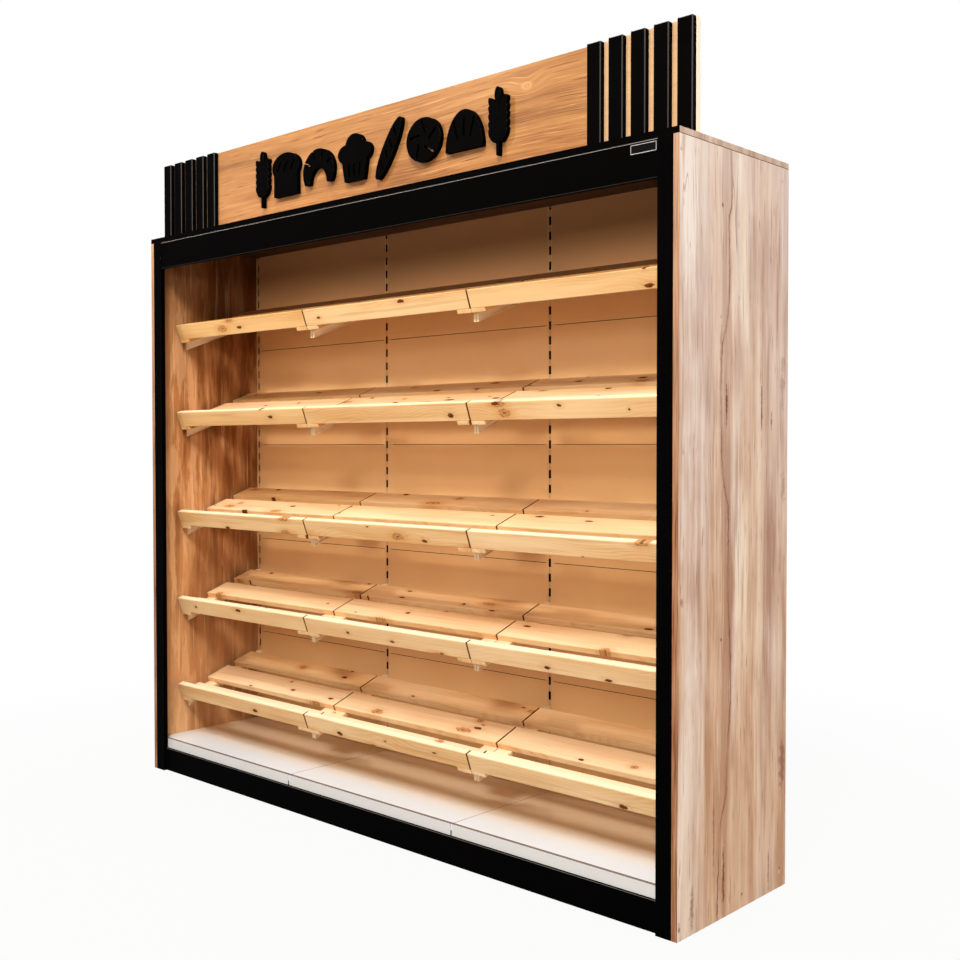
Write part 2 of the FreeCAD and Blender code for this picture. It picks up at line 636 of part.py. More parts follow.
def round_loaf():
    """A high round loaf on its flat side, scored with bent cuts."""
    half = MOTIF_HEIGHT * 0.38
    rise = MOTIF_HEIGHT * 0.6
    cuts = [bar(half * 0.44 * i, rise * (0.58 - 0.06 * abs(i)), rise * 0.52, MOTIF_GROOVE, 90 - 16 * i)
            for i in (-1, 0, 1)]
    return ellipse(0, 0, half, rise).cut(below(0)).cut(cuts)


def sign_motifs():
    """Flat black shapes of bread and grain, evenly spaced in a row along the middle of the sign board."""
    row = [wheat_ear(), tin_loaf(), croissant(), muffin(), baguette(), star_roll(), round_loaf(), wheat_ear()]
    boxes = [plate.BoundBox for plate in row]
    start = MOTIF_ROW_SHIFT - (sum(size.XLength for size in boxes) + MOTIF_GAP * (len(row) - 1)) / 2
    level = ROOF_TOP + SIGN_HEIGHT / 2
    placed = []
    for plate, size in zip(row, boxes):
        upright = moved(plate, start - size.XMin, -(size.YMin + size.YMax) / 2)
        upright.rotate(Vector(0, 0, 0), Vector(1, 0, 0), 90)
        placed.append(moved(upright, y=SIGN_BOARD_FRONT, z=level))
        start += size.XLength + MOTIF_GAP
    write("sign_motifs", placed)


os.makedirs("parts", exist_ok=True)
cabinet()
front_frame()
uprights()
crossbars()
back_panels()
base_legs()
base_decks()
trays()
shelf_brackets()
sign_frame()
sign_motifs()
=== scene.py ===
import json
import math
import random
import bmesh
import bpy
from mathutils import Matrix, Vector

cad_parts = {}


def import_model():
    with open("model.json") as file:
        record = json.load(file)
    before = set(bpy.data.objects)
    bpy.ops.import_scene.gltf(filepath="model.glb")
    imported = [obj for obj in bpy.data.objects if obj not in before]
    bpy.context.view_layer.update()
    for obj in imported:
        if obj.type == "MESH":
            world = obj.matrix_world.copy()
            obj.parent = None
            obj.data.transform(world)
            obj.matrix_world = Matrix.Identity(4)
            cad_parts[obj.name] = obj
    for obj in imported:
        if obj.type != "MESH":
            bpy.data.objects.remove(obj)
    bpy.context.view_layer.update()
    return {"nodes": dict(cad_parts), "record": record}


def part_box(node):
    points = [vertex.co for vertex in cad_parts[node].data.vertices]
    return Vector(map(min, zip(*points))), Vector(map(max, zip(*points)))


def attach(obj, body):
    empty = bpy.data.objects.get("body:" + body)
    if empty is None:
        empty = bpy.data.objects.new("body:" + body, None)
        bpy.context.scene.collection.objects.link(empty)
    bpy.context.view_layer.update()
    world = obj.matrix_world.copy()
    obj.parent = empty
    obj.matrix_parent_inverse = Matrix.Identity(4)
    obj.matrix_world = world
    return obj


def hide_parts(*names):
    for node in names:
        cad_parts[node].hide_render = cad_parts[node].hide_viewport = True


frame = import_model()
NODES = frame["nodes"]
MATERIALS_OF = {row["node"]: row["material_slot"] for row in frame["record"]["subparts"]}
BODY_OF = {node: body for body, nodes in frame["record"]["behaviour"]["bodies"].items() for node in nodes}

# ---- Driving values (metres unless a name says otherwise) -----------------------------------------------

# Camera
CAMERA_PLACE = Vector((2.95587, -2.87973, 1.29780))
CAMERA_YAW = math.radians(42.8968)
CAMERA_PITCH = math.radians(-1.3170)
CAMERA_ROLL = math.radians(0.0321)
IMAGE_SIDE_PX = 960
FOCAL_PX = 1187.38
CENTRE_LIFT_PX = 7.57
SENSOR_MM = 36.0

# Stage
FLOOR_REACH = 14.0
FLOOR_CLEAR_NEAR = 1.6
FLOOR_CLEAR_FAR = 3.4

# Side decor: the long crack as (share of its rise, share between its left and right limits), then marks as
# (place along Y, height, half width, half height, strength)
CRACK_RISE = 2.1
CRACK_LEFT = -0.1
CRACK_RIGHT = 0.0
CRACK = ((0.0, 0.1), (0.107, 0.19), (0.164, 0.52), (0.24, 0.64), (0.305, 0.74), (0.434, 0.59), (0.525, 0.59),
         (0.567, 0.36), (0.643, 0.21), (0.725, 0.21), (0.775, 0.47), (0.835, 0.62), (0.907, 0.58),
         (0.934, 0.71), (1.0, 0.65))
DECOR_MARKS = ((-0.271, 0.888, 0.010, 0.014, 0.6), (-0.076, 1.946, 0.004, 0.006, 1.0),
               (-0.075, 0.768, 0.004, 0.006, 1.0),
               (0.262, 1.176, 0.012, 0.04, 0.4), (0.262, 0.360, 0.015, 0.07, 0.6),
               (0.256, 1.530, 0.012, 0.036, 0.34), (0.256, 1.470, 0.012, 0.028, 0.38),
               (0.256, 1.420, 0.010, 0.026, 0.3), (0.137, 1.400, 0.004, 0.06, 0.9),
               (0.192, 1.363, 0.004, 0.03, 0.75), (-0.052, 1.412, 0.005, 0.05, 0.95),
               (-0.081, 1.500, 0.007, 0.14, 0.5), (-0.059, 0.110, 0.006, 0.08, 0.95),
               (0.040, 0.042, 0.004, 0.009, 0.8), (0.187, 0.070, 0.004, 0.06, 0.6),
               (-0.215, 0.070, 0.008, 0.06, 0.6), (-0.277, 0.030, 0.006, 0.009, 0.8),
               (0.251, 0.057, 0.004, 0.004, 1.0), (-0.110, 0.240, 0.004, 0.12, 0.55))

# Side decor: its light and dark columns outside, as (share of the panel's depth from its front, lightness)
DECOR_COLUMNS = ((0.0, 0.6), (0.04, 0.86), (0.11, 0.95), (0.17, 0.45), (0.27, 0.32), (0.35, 0.36),
                 (0.41, 0.15), (0.47, 0.7), (0.55, 0.86), (0.63, 0.62), (0.71, 0.5), (0.78, 0.2),
                 (0.85, 0.44), (0.92, 0.4), (1.0, 0.22))

# Side decor: the heights between which the outside and the front edge grow paler towards the top
DECOR_FADE = (0.9, 2.1)

# Sign board: its knot's X and how far that lies under the board's top edge, half the knot's length and
# height, the X from which the board is paler between the battens, and the width of the pale strip at its end
SIGN_KNOT_X = 0.66
SIGN_KNOT_DOWN = 0.062
SIGN_KNOT_HALF_LENGTH = 0.022
SIGN_KNOT_HALF_HEIGHT = 0.012
BATTENS_FROM = 0.9
SIGN_END = 0.012

# Black frame: the heights between which the painted highlight on its edges grows, so that only the fascia's
# is strong
FASCIA_HIGHLIGHT = (1.9, 2.0)

# Decks: the groove along the front fold, how far back and how far down it reaches, and the Y where the warm
# painted shade towards the back starts and where it is full
GROOVE_REACH = 0.014
GROOVE_DEPTH = 0.003
DECK_PAINTED_SHADE = (-0.21, -0.02)

# Surfaces: the middle range of a noise, the grain of orange peel, and the specular level of each kind
NOISE_RANGE = (0.3, 0.7)
PEEL_SCALE = 650.0
DECOR_SHEEN = 0.16
PINE_SHEEN = 0.2
BLACK_SHEEN = 0.005
COAT_SHEEN = 0.24
BRACKET_SHEEN = 0.28
SCREW_SHEEN = 0.26
LABEL_SHEEN = 0.02
FLOOR_SHEEN = 0.2

# Bays, and the distance from one upright to the next
BAYS = 3
BAY_PITCH = 0.808

# Back panels: the seams between them, and the strip of dark sheet behind each, which stands in for their
# shade
SEAM_HEIGHTS = (0.5, 0.9, 1.3, 1.7)
SEAM_STRIP = 0.007
SEAM_SHEET = 0.001
SEAM_SIDE_GAP = 0.0075

# Uprights: a distance from their middle that falls inside the tubes' side walls, and how near the ends of the
# row of bays an upright is an end upright, with less painted shade in its slots
TUBE_WALL = 0.0138
END_UPRIGHT = 0.03

# Trays
TIERS = 5
TOP_TIER = 1.74
TRAY_SLOPE = math.radians(20)
BOARD_EDGE = 0.0022
BOARD_BOW = 0.0005
BOARD_RUNS = 12

# Points nearer than this are one point
SAME_POINT = 0.00001

# How wide the rounded edges are on the pieces that keep their CAD shape, and which angle counts as an edge
DECOR_ROUND = 0.0008
FRAME_ROUND = 0.0015
BATTEN_ROUND = 0.0034
SHARP_ANGLE = math.radians(35)

# The silver line on the label plate: how far inside the edge, how wide, and how far it stands out
LINE_INSET = 0.003
LINE_WIDTH = 0.0012
LINE_RISE = 0.0002

# Surround: how strongly it lights from the sides and from above, and the Z of the directions between which
# that changes
SKY_LIGHT = (0.12, 0.25)
SKY_RISE = (0.25, 0.6)


# ---- Shader building ------------------------------------------------------------------------------------

class Nodes:
    """A material's or a world's nodes, added one call at a time. Most calls give back a node's output."""

    def __init__(self, owner):
        owner.use_nodes = True
        self.tree = owner.node_tree
        self.tree.nodes.clear()

    def put(self, socket, value):
        """Links an output to a socket, or sets the socket's own value. Every colour is opaque."""
        if isinstance(value, bpy.types.NodeSocket):
            self.tree.links.new(value, socket)
        elif value is not None:
            socket.default_value = (*value, 1.0) if socket.type == "RGBA" else value

    def node(self, kind, inputs, **settings):
        """Adds a node with the values or outputs of its inputs, and its settings."""
        made = self.tree.nodes.new(kind)
        for key, value in settings.items():
            setattr(made, key, value)
        for key, value in inputs.items():
            self.put(made.inputs[key], value)
        return made

    def place(self):
        """The point's place in the rack's own frame."""
        return self.node("ShaderNodeTexCoord", {}).outputs["Object"]

    def axes(self):
        """The X, Y and Z of the point's place."""
        return self.split(self.place())[0:3]

    def facing(self):
        """The X, Y and Z of the direction in which the surface looks."""
        return self.split(self.node("ShaderNodeNewGeometry", {}).outputs["Normal"])[0:3]

    def attribute(self, name, output):
        """A value or vector that the piece's points carry."""
        return self.node("ShaderNodeAttribute", {}, attribute_name=name).outputs[output]

    def split(self, vector):
        return self.node("ShaderNodeSeparateXYZ", {0: vector}).outputs

    def join(self, x=0.0, y=0.0, z=0.0):
        return self.node("ShaderNodeCombineXYZ", {0: x, 1: y, 2: z}).outputs[0]

    def math(self, operation, a, b=None):
        made = self.node("ShaderNodeMath", {0: a}, operation=operation)
        self.put(made.inputs[1], b)
        return made.outputs[0]

    def plus(self, a, b):
        return self.math("ADD", a, b)

    def minus(self, a, b):
        return self.math("SUBTRACT", a, b)

    def times(self, a, b):
        return self.math("MULTIPLY", a, b)

    def over(self, a, b):
        return self.math("DIVIDE", a, b)

    def absolute(self, a):
        return self.math("ABSOLUTE", a)

    def larger(self, a, b):
        return self.math("MAXIMUM", a, b)

    def length(self, vector):
        return self.node("ShaderNodeVectorMath", {0: vector}, operation="LENGTH").outputs["Value"]

    def stretch(self, vector, scale):
        """The vector times a scale for each axis: a large one makes a pattern finer that way."""
        return self.node("ShaderNodeMapping", {"Vector": vector, "Scale": scale}).outputs[0]

    def noise(self, vector, scale, detail=3.0, roughness=0.55):
        inputs = {"Vector": vector, "Scale": scale, "Detail": detail, "Roughness": roughness}
        return self.node("ShaderNodeTexNoise", inputs).outputs[0]

    def remap(self, value, low, high, to_low=0.0, to_high=1.0, smooth=False):
        """Takes the range from low to high to another range, clamped at its ends."""
        kind = "SMOOTHSTEP" if smooth else "LINEAR"
        inputs = {0: value, 1: low, 2: high, 3: to_low, 4: to_high}
        return self.node("ShaderNodeMapRange", inputs, interpolation_type=kind).outputs[0]

    def spread(self, noise, to_low=0.0, to_high=1.0):
        """A noise's middle range, spread between two values."""
        return self.remap(noise, *NOISE_RANGE, to_low, to_high)

    def ramp(self, value, stops):
        """A colour ramp from (position, colour) pairs."""
        made = self.node("ShaderNodeValToRGB", {0: value})
        elements = made.color_ramp.elements
        while len(elements) < len(stops):
            elements.new(1.0)
        for element, (position, colour) in zip(elements, stops):
            element.position = position
            element.color = (*colour, 1.0)
        return made.outputs[0]

    def mix(self, share, a, b):
        """The colour between a, where the share is 0, and b, where it is 1."""
        made = self.node("ShaderNodeMix", {}, data_type="RGBA")
        self.put(made.inputs[0], share)
        self.put(made.inputs[6], a)
        self.put(made.inputs[7], b)
        return made.outputs[2]

    def curve(self, value, points):
        """A value read from a smooth line through the points."""
        made = self.node("ShaderNodeFloatCurve", {"Value": value})
        line = made.mapping.curves[0]
        line.points[0].location = points[0]
        line.points[1].location = points[-1]
        for place in points[1:-1]:
            line.points.new(*place)
        made.mapping.update()
        return made.outputs[0]

    def bump(self, height, distance, strength):
        inputs = {"Height": height, "Distance": distance, "Strength": strength}
        return self.node("ShaderNodeBump", inputs).outputs[0]

    def seen_rays(self):
        """1 for rays from the camera, and for those that come by way of a glossy or clear surface."""
        path = self.node("ShaderNodeLightPath", {}).outputs
        mirrored = self.plus(path["Is Glossy Ray"], path["Is Transmission Ray"])
        inputs = {0: path["Is Camera Ray"], 1: mirrored}
        return self.node("ShaderNodeMath", inputs, use_clamp=True).outputs[0]


class Shader(Nodes):
    """A material with one surface."""

    def __init__(self, name):
        self.material = bpy.data.materials.new(name)
        super().__init__(self.material)
        self.surface = self.node("ShaderNodeBsdfPrincipled", {})
        self.output = self.node("ShaderNodeOutputMaterial", {"Surface": self.surface.outputs[0]})

    def finish(self, colour, roughness, normal=None, **sockets):
        """Sets the surface's sockets and gives back the material."""
        self.put(self.surface.inputs["Base Color"], colour)
        self.put(self.surface.inputs["Roughness"], roughness)
        self.put(self.surface.inputs["Normal"], normal)
        for name, value in sockets.items():
            self.put(self.surface.inputs[name.replace("_", " ")], value)
        return self.material


def rgb(red, green, blue):
    """A linear colour from screen values of 0 to 255."""
    channels = []
    for value in (red, green, blue):
        share = value / 255
        channels.append(share / 12.92 if share <= 0.04045 else ((share + 0.055) / 1.055) ** 2.4)
    return tuple(channels)


# ---- Materials ------------------------------------------------------------------------------------------
# In each of these, s is the Shader whose nodes are being added.

def knots(s, along, across, cell, sizes, odds):
    """Scattered ellipses, at most one in each cell of a board's face: the reach from a middle, and whether
    that cell has one."""
    place = s.join(s.over(along, cell[0]), s.over(across, cell[1]))
    found = s.node("ShaderNodeTexVoronoi", {"Vector": place, "Scale": 1.0, "Randomness": 0.9},
                   voronoi_dimensions="2D", feature="F1")
    centre = s.split(found.outputs["Position"])
    chance = s.split(found.outputs["Color"])
    off_x = s.times(s.minus(s.split(place)[0], centre[0]), cell[0])
    off_y = s.times(s.minus(s.split(place)[1], centre[1]), cell[1])
    size = s.remap(chance[1], 0.0, 1.0, *sizes)
    reach_x = s.over(off_x, s.times(size, s.remap(chance[2], 0.0, 1.0, 1.3, 3.2)))
    reach_y = s.over(off_y, size)
    reach = s.length(s.join(reach_x, reach_y))
    ragged = s.noise(s.join(along, across), 110.0, 2.0)
    return s.plus(reach, s.spread(ragged, -0.22, 0.22)), s.math("LESS_THAN", chance[0], odds)


def growth_lines(s, grain, swell):
    """Late wood: shells round a pith line under the board, pushed aside where a knot swells them."""
    across, depth = s.split(grain)[1:3]
    drift = s.noise(s.stretch(grain, (1.6, 3.0, 3.0)), 1.0, 2.0)
    pith_across = s.plus(across, s.remap(drift, 0.2, 0.8, -0.05, 0.05))
    pith_depth = s.plus(depth, 0.07)
    radius = s.length(s.join(pith_across, pith_depth))
    radius = s.plus(radius, s.times(swell, 0.007))
    radius = s.plus(radius, s.times(s.noise(s.stretch(grain, (4, 26, 26)), 1.0, 3.0), 0.02))
    rings = s.math("FRACT", s.over(radius, 0.009))
    return s.remap(rings, 0.4, 0.98, 0.0, 1.0, True)


def clear_wood(s, grain, tone, late_wood, streaks):
    """The colour of pine between its knots, from pale to golden boards."""
    patches = s.noise(s.stretch(grain, (1.7, 13.0, 13.0)), 1.0, 2.0)
    lines = s.noise(s.stretch(grain, (1.3, 46.0, 46.0)), 1.0, 2.0)
    pale = s.mix(tone, rgb(242, 209, 164), rgb(230, 183, 121))
    warm = s.mix(tone, rgb(224, 170, 110), rgb(204, 143, 77))
    clear = s.remap(patches, 0.38, 0.62, 0.05, 0.42)
    shade = s.plus(s.times(late_wood, clear), s.remap(streaks, 0.32, 0.75, 0.0, 0.3))
    shade = s.plus(shade, s.remap(patches, 0.35, 0.7, -0.14, 0.5))
    wood = s.mix(shade, pale, warm)
    return s.mix(s.remap(lines, 0.62, 0.7, 0.0, 0.32, True), wood, rgb(188, 128, 74))


def painted_top_light(s, wood):
    """Painted highlight, near white, on faces where a board looks up, growing towards the front. On the top
    tier such faces get a brown painted shade instead.
    """
    y, z = s.axes()[1:]
    upward = s.remap(s.facing()[2], 0.75, 0.9)
    top_tier = s.remap(z, TOP_TIER - 0.06, TOP_TIER)
    # Painted highlight: upward faces paler towards the front, where the light from above falls.
    painted_highlight = s.times(upward, s.remap(y, 0.06, -0.19, 0.0, 0.62))
    wood = s.mix(s.times(painted_highlight, s.minus(1.0, top_tier)), wood, rgb(252, 236, 212))
    # Painted shade: upward faces on the top tier brown.
    return s.mix(s.times(s.times(upward, top_tier), 0.75), wood, rgb(158, 88, 34))


def ringed_knots(s, wood, reach, here, broken):
    """Knots with rings inside, a dark eye and a broken dark rim."""
    inside = s.times(s.remap(reach, 0.86, 1.0, 1.0, 0.0, True), here)
    eye = s.mix(s.math("FRACT", s.times(reach, 2.6)), rgb(214, 154, 92), rgb(158, 98, 46))
    eye = s.mix(s.remap(reach, 0.3, 0.12), eye, rgb(88, 48, 20))
    wood = s.mix(s.times(inside, 0.9), wood, eye)
    rim = s.minus(1.0, s.remap(s.absolute(s.minus(reach, 0.95)), 0.03, 0.17))
    rim = s.times(s.times(rim, here), s.remap(broken, 0.42, 0.58, 0.1, 0.8))
    return s.mix(rim, wood, rgb(108, 62, 26))


def pine():
    """Clear-oiled knotty pine: streaks along each board, growth lines, ringed knots and small dark ones."""
    s = Shader("pine")
    grain = s.attribute("grain", "Vector")
    tone = s.attribute("tone", "Fac")
    end = s.attribute("end", "Fac")
    along, across = s.split(grain)[0:2]
    ring_reach, ring_here = knots(s, along, across, (0.42, 0.1), (0.0075, 0.013), 0.5)
    dark_reach, dark_here = knots(s, s.plus(along, 3.3), s.plus(across, 0.7), (0.23, 0.07),
                                  (0.0028, 0.0088), 0.5)
    halo = s.times(s.remap(ring_reach, 0.9, 3.0, 1.0, 0.0, True), ring_here)
    stain = s.times(s.remap(dark_reach, 0.9, 3.4, 1.0, 0.0, True), dark_here)
    late_wood = growth_lines(s, grain, s.plus(halo, stain))
    streaks = s.noise(s.stretch(grain, (3.0, 120.0, 120.0)), 1.0, 4.0, 0.6)

    wood = clear_wood(s, grain, tone, late_wood, streaks)
    wood = s.mix(s.times(halo, 0.6), wood, rgb(210, 144, 76))
    wood = s.mix(s.times(stain, 0.22), wood, rgb(190, 122, 62))
    wood = painted_top_light(s, wood)
    broken = s.noise(s.join(along, across, 4.0), 60.0, 1.0)
    wood = ringed_knots(s, wood, ring_reach, ring_here, broken)
    core = s.times(s.remap(dark_reach, 0.7, 1.05, 1.0, 0.0, True), dark_here)
    wood = s.mix(core, wood, s.mix(broken, rgb(78, 38, 14), rgb(128, 72, 30)))
    wood = s.mix(end, wood, rgb(104, 60, 28))

    height = s.minus(s.times(streaks, 0.6), s.times(late_wood, 0.2))
    gloss = s.remap(streaks, 0.2, 0.8, 0.42, 0.6)
    sheen = s.remap(s.larger(end, core), 0.0, 1.0, PINE_SHEEN, 0.0)
    return s.finish(wood, gloss, s.bump(height, 0.0004, 0.5), Specular_IOR_Level=sheen)


def decor_finish(s, colour, fine, rough_low=0.44, rough_high=0.58):
    """The matt film of printed decor, its pores as deep as its finest grain."""
    return s.finish(colour, s.spread(fine, rough_low, rough_high), s.bump(fine, 0.0003, 0.4),
                    Specular_IOR_Level=DECOR_SHEEN)


class SideDecor:
    """Printed plank decor with upright grain: pale and pinkish outside; inside, painted shade and warm bounce
    light make it a deeper orange brown.
    """

    def __init__(self):
        self.s = s = Shader("ash_decor")
        self.x, self.y, self.z = s.axes()
        self.low, self.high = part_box("side_panel_right")
        middle = (self.low.x + self.high.x) / 2
        self.inner = s.remap(s.absolute(self.x), middle - 0.001, middle + 0.001, 1.0, 0.0)
        shift = s.plus(s.times(s.math("SIGN", self.x), 0.37), s.times(self.inner, 0.9))
        self.sway = s.noise(s.join(s.times(self.y, 2.4), shift, s.times(self.z, 1.7)), 1.0, 3.0)
        self.bent = s.plus(s.plus(self.y, shift), s.spread(self.sway, -0.007, 0.007))
        self.cloud = s.noise(s.join(s.times(self.y, 9.0), shift, s.times(self.z, 3.4)), 1.0, 3.0)
        self.fine = self.strands(7.0, 240.0, 5.0, 3.0, 0.6)

    def strands(self, seed, across, upward, detail=2.0, rough=0.5):
        """Noise stretched up the panel: a seed, and how fine it is across the grain and along it."""
        s = self.s
        place = s.join(s.times(self.bent, across), seed, s.times(self.z, upward))
        return s.noise(place, 1.0, detail, rough)

    def lightness(self):
        """How light the print is, from 0 to 1."""
        s = self.s
        broad = self.strands(0.0, 17.0, 1.3)
        narrow = self.strands(3.0, 52.0, 2.6, 3.0)
        level = s.plus(s.times(broad, 0.55), s.times(narrow, 0.26))
        level = s.plus(level, s.times(self.fine, 0.17))
        level = s.plus(level, s.spread(self.cloud, -0.08, 0.08))
        return s.remap(level, 0.36, 0.66)

    def outside(self, level):
        """The outer face: pink and tan columns, darker streaks, paler towards the top, warmer at the foot."""
        s, z = self.s, self.z
        share = s.plus(s.remap(self.y, self.low.y, self.high.y), s.spread(self.sway, -0.02, 0.02))
        columns = s.times(s.remap(s.curve(share, DECOR_COLUMNS), 0.0, 1.0, -0.5, 0.5),
                          s.remap(self.cloud, 0.35, 0.65, 0.5, 1.1))
        level = s.plus(level, columns)
        pink = s.ramp(level, ((0.0, rgb(172, 132, 110)), (0.4, rgb(208, 178, 160)),
                              (1.0, rgb(236, 221, 208))))
        tan = s.ramp(level, ((0.0, rgb(174, 128, 98)), (0.4, rgb(210, 174, 146)),
                             (1.0, rgb(236, 212, 186))))
        cream = s.remap(s.absolute(s.minus(share, 0.56)), 0.1, 0.3, 0.08, -0.05)
        hue = s.plus(self.strands(5.0, 9.0, 0.7), cream)
        colour = s.mix(s.remap(hue, 0.42, 0.58, 0.0, 1.0, True), pink, tan)
        colour = s.mix(s.remap(z, *DECOR_FADE, 0.0, 0.4), colour, rgb(230, 220, 214))
        smear = self.strands(2.0, 34.0, 1.5, 4.0, 0.6)
        colour = s.mix(s.remap(smear, 0.55, 0.7, 0.0, 0.55, True), colour, rgb(166, 118, 90))
        streak = self.strands(13.0, 110.0, 3.4, 3.0, 0.6)
        colour = s.mix(s.remap(streak, 0.57, 0.7, 0.0, 0.5, True), colour, rgb(154, 100, 72))
        colour = s.mix(s.remap(streak, 0.42, 0.3, 0.0, 0.4, True), colour, rgb(240, 226, 212))
        foot = s.remap(z, 0.75, 0.1, 0.0, 1.0, True)
        foot = s.times(foot, s.remap(self.strands(8.0, 21.0, 1.1), 0.46, 0.66))
        colour = s.mix(s.times(foot, 0.42), colour, rgb(150, 102, 70))
        return s.mix(s.remap(z, 0.2, 1.0, 0.22, 0.0), colour, rgb(236, 190, 146))

    def painted_shade_inside(self, level):
        """The inner face, painted as if lit inside the rack: a deeper orange brown than the outside, dark
        smudges that are partly decor and partly painted shade, painted shade towards the rear and the top,
        and painted light along the front and towards the foot.
        """
        s, y, z = self.s, self.y, self.z
        # The inner face's base, a deeper orange brown than the outside: painted shade and warm bounce light.
        colour = s.ramp(level, ((0.0, rgb(150, 94, 50)), (0.35, rgb(180, 122, 74)), (0.7, rgb(200, 146, 96)),
                                (1.0, rgb(216, 166, 118))))
        # Dark smudges, partly decor and partly painted shade: more of them towards the rear and higher up.
        smudge = s.plus(self.strands(21.0, 15.0, 2.3, 5.0, 0.6), s.remap(y, -0.2, 0.05, -0.09, 0.03, True))
        deep = s.times(s.remap(smudge, 0.46, 0.6, 0.0, 1.0, True), s.remap(z, 0.3, 1.5, 0.5, 0.8))
        colour = s.mix(deep, colour, rgb(112, 62, 24))
        colour = s.mix(s.remap(smudge, 0.43, 0.36, 0.0, 0.45, True), colour, rgb(238, 190, 140))
        light_streak = self.strands(23.0, 56.0, 2.4, 3.0)
        colour = s.mix(s.remap(light_streak, 0.57, 0.68, 0.0, 0.45, True), colour, rgb(240, 198, 150))
        dark_streak = self.strands(25.0, 84.0, 3.2, 3.0, 0.6)
        colour = s.mix(s.remap(dark_streak, 0.58, 0.7, 0.0, 0.5, True), colour, rgb(104, 56, 24))
        # Painted light along the front of the inner face.
        front = s.remap(y, self.low.y + 0.03, self.low.y + 0.1, 0.55, 0.0, True)
        colour = s.mix(front, colour, rgb(226, 178, 128))
        # Painted shade towards the rear and the top, painted light towards the foot.
        colour = s.mix(s.remap(y, -0.1, self.high.y, 0.0, 0.34), colour, rgb(92, 48, 16))
        colour = s.mix(s.remap(z, 1.4, 2.1, 0.0, 0.5), colour, rgb(96, 48, 14))
        return s.mix(s.remap(z, 0.3, 1.1, 0.35, 0.0), colour, rgb(232, 180, 128))

    def flaws(self):
        """How dark the long crack, the hairlines, the flecks and the marks make a point."""
        s, y, z = self.s, self.y, self.z
        crack_y = s.remap(s.curve(s.over(z, CRACK_RISE), CRACK), 0.0, 1.0, CRACK_LEFT, CRACK_RIGHT)
        ragged = s.noise(s.place(), 60.0, 2.0)
        off = s.absolute(s.minus(y, s.plus(crack_y, s.spread(ragged, -0.002, 0.002))))
        broken = s.noise(s.join(0.0, 5.0, s.times(z, 6.0)), 1.0, 2.0)
        crack = s.times(s.remap(off, 0.0006, 0.003, 1.0, 0.0, True), s.remap(broken, 0.42, 0.58, 0.12, 0.85))
        crack = s.plus(crack, s.remap(off, 0.002, 0.012, 0.24, 0.0, True))
        hair = s.absolute(s.minus(self.strands(11.0, 13.0, 0.9, 2.0, 0.4), 0.56))
        hair = s.remap(hair, 0.0, 0.005, 0.5, 0.0, True)
        hair = s.times(hair, s.remap(self.sway, 0.5, 0.56, 0.0, 1.0, True))
        flecks = s.remap(self.strands(2.0, 130.0, 9.0), 0.62, 0.74, 0.0, 0.6, True)
        dark = s.larger(s.larger(crack, hair), flecks)
        for mark_y, mark_z, half_width, half_height, strength in DECOR_MARKS:
            offset = s.join(s.over(s.minus(y, mark_y), half_width), s.over(s.minus(z, mark_z), half_height))
            reach = s.plus(s.length(offset), s.spread(ragged, -0.4, 0.4))
            dark = s.larger(dark, s.remap(reach, 0.4, 1.4, strength, 0.0, True))
        return dark

    def edging(self):
        """The strip on the front edge, browner and with a coarser grain."""
        s = self.s
        grain = s.noise(s.join(s.times(self.x, 210.0), 0.0, s.times(self.z, 5.0)), 1.0, 3.0, 0.65)
        colour = s.ramp(s.remap(grain, 0.35, 0.68), (
            (0.0, rgb(92, 50, 26)), (0.35, rgb(142, 92, 60)), (1.0, rgb(178, 136, 104))))
        return s.mix(s.remap(self.z, *DECOR_FADE, 0.0, 0.35), colour, rgb(206, 174, 146))

    def material(self):
        """All of it together: outside and inside by X, the flaws over both, and the edging in front."""
        s = self.s
        level = self.lightness()
        colour = s.mix(self.inner, self.outside(level), self.painted_shade_inside(level))
        strength = s.minus(1.0, s.times(self.inner, 0.85))
        # The flaws are darker on the inner face as painted shade.
        stain = s.mix(self.inner, rgb(116, 60, 32), rgb(82, 42, 18))
        colour = s.mix(s.times(self.flaws(), strength), colour, stain)
        edge = s.remap(self.y, self.low.y + 0.0004, self.low.y + 0.0012, 1.0, 0.0)
        return decor_finish(s, s.mix(edge, colour, self.edging()), self.fine)


def roof_decor():
    """The same decor on the roof board, its grain along the rack; dark brown underneath as painted shade."""
    s = Shader("roof_decor")
    x, y, z = s.axes()
    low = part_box("roof_panel")[0]
    under = s.remap(z, low.z + 0.001, low.z + 0.003, 1.0, 0.0)
    broad = s.noise(s.join(s.times(x, 0.8), s.times(y, 19.0), 0.0), 1.0, 2.0)
    fine = s.noise(s.join(s.times(x, 3.0), s.times(y, 200.0), z), 1.0, 3.0, 0.6)
    level = s.remap(s.plus(s.times(broad, 0.7), s.times(fine, 0.3)), 0.38, 0.65)
    colour = s.ramp(level, ((0.0, rgb(168, 138, 116)), (0.5, rgb(196, 168, 148)), (1.0, rgb(214, 192, 176))))
    # Painted shade: the dark brown ramp for the underside.
    warm = s.ramp(level, ((0.0, rgb(50, 30, 14)), (0.5, rgb(76, 48, 26)), (1.0, rgb(98, 66, 38))))
    return decor_finish(s, s.mix(under, colour, warm), fine)


